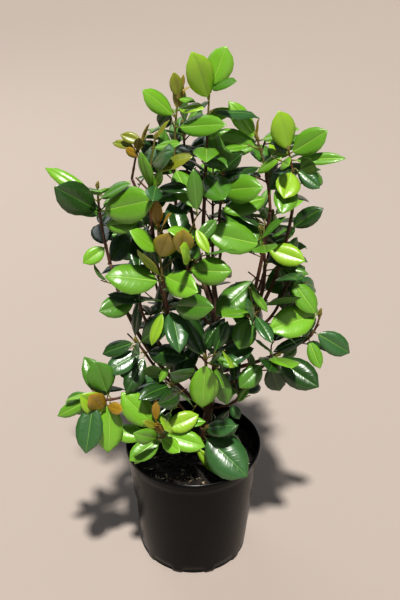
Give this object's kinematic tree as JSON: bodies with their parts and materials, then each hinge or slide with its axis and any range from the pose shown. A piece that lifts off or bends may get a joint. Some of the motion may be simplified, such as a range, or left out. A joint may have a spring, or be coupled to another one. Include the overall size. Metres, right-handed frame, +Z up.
{
  "type": "camellia shrub in nursery pot",
  "caption": "Young evergreen shrub with broad glossy leaves on upright branching shoots, rooted in a round black plastic nursery pot filled with soil.",
  "frame": {"origin": "middle of the pot's flat underside, where it stands on the floor", "axes": "+Z up along the plant, +X to the right of its front view, +Y away from the front"},
  "size_m": [0.4466, 0.3383, 0.848],
  "materials": {
    "pot_plastic": "satin",
    "potting_soil": "matte",
    "bark": "matte",
    "foliage": "satin"
  },
  "bodies": {
    "root": {"pot": "pot_plastic", "soil": "potting_soil", "trunk": "bark", "bough-leader": "bark", "bough-second": "bark", "bough-middle": "bark", "bough-centre": "bark", "bough-left": "bark", "bough-leftMiddle": "bark", "bough-leftUpper": "bark", "bough-leftBack": "bark", "bough-outer": "bark", "bough-right": "bark", "bough-rightInner": "bark", "bough-rightOuter": "bark", "bough-arm": "bark", "bough-rightLow": "bark", "bough-rightFront": "bark", "bough-rightShort": "bark", "bough-rightCentre": "bark", "bough-lowLeft": "bark", "bough-leftLow": "bark", "bough-centreLow": "bark", "bough-frontLeft": "bark", "bough-frontRight": "bark", "bough-frontCentre": "bark", "bough-backLeft": "bark", "bough-backMiddle": "bark", "bough-backRight": "bark", "bough-backUpper": "bark", "bough-backLow": "bark", "foliage-leader": "foliage", "foliage-second": "foliage", "foliage-middle": "foliage", "foliage-centre": "foliage", "foliage-left": "foliage", "foliage-leftMiddle": "foliage", "foliage-leftUpper": "foliage", "foliage-leftBack": "foliage", "foliage-outer": "foliage", "foliage-right": "foliage", "foliage-rightInner": "foliage", "foliage-rightOuter": "foliage", "foliage-arm": "foliage", "foliage-rightLow": "foliage", "foliage-rightFront": "foliage", "foliage-rightShort": "foliage", "foliage-rightCentre": "foliage", "foliage-lowLeft": "foliage", "foliage-leftLow": "foliage", "foliage-centreLow": "foliage", "foliage-frontLeft": "foliage", "foliage-frontRight": "foliage", "foliage-frontCentre": "foliage", "foliage-backLeft": "foliage", "foliage-backMiddle": "foliage", "foliage-backRight": "foliage", "foliage-backUpper": "foliage", "foliage-backLow": "foliage"}
  },
  "joints": []
}
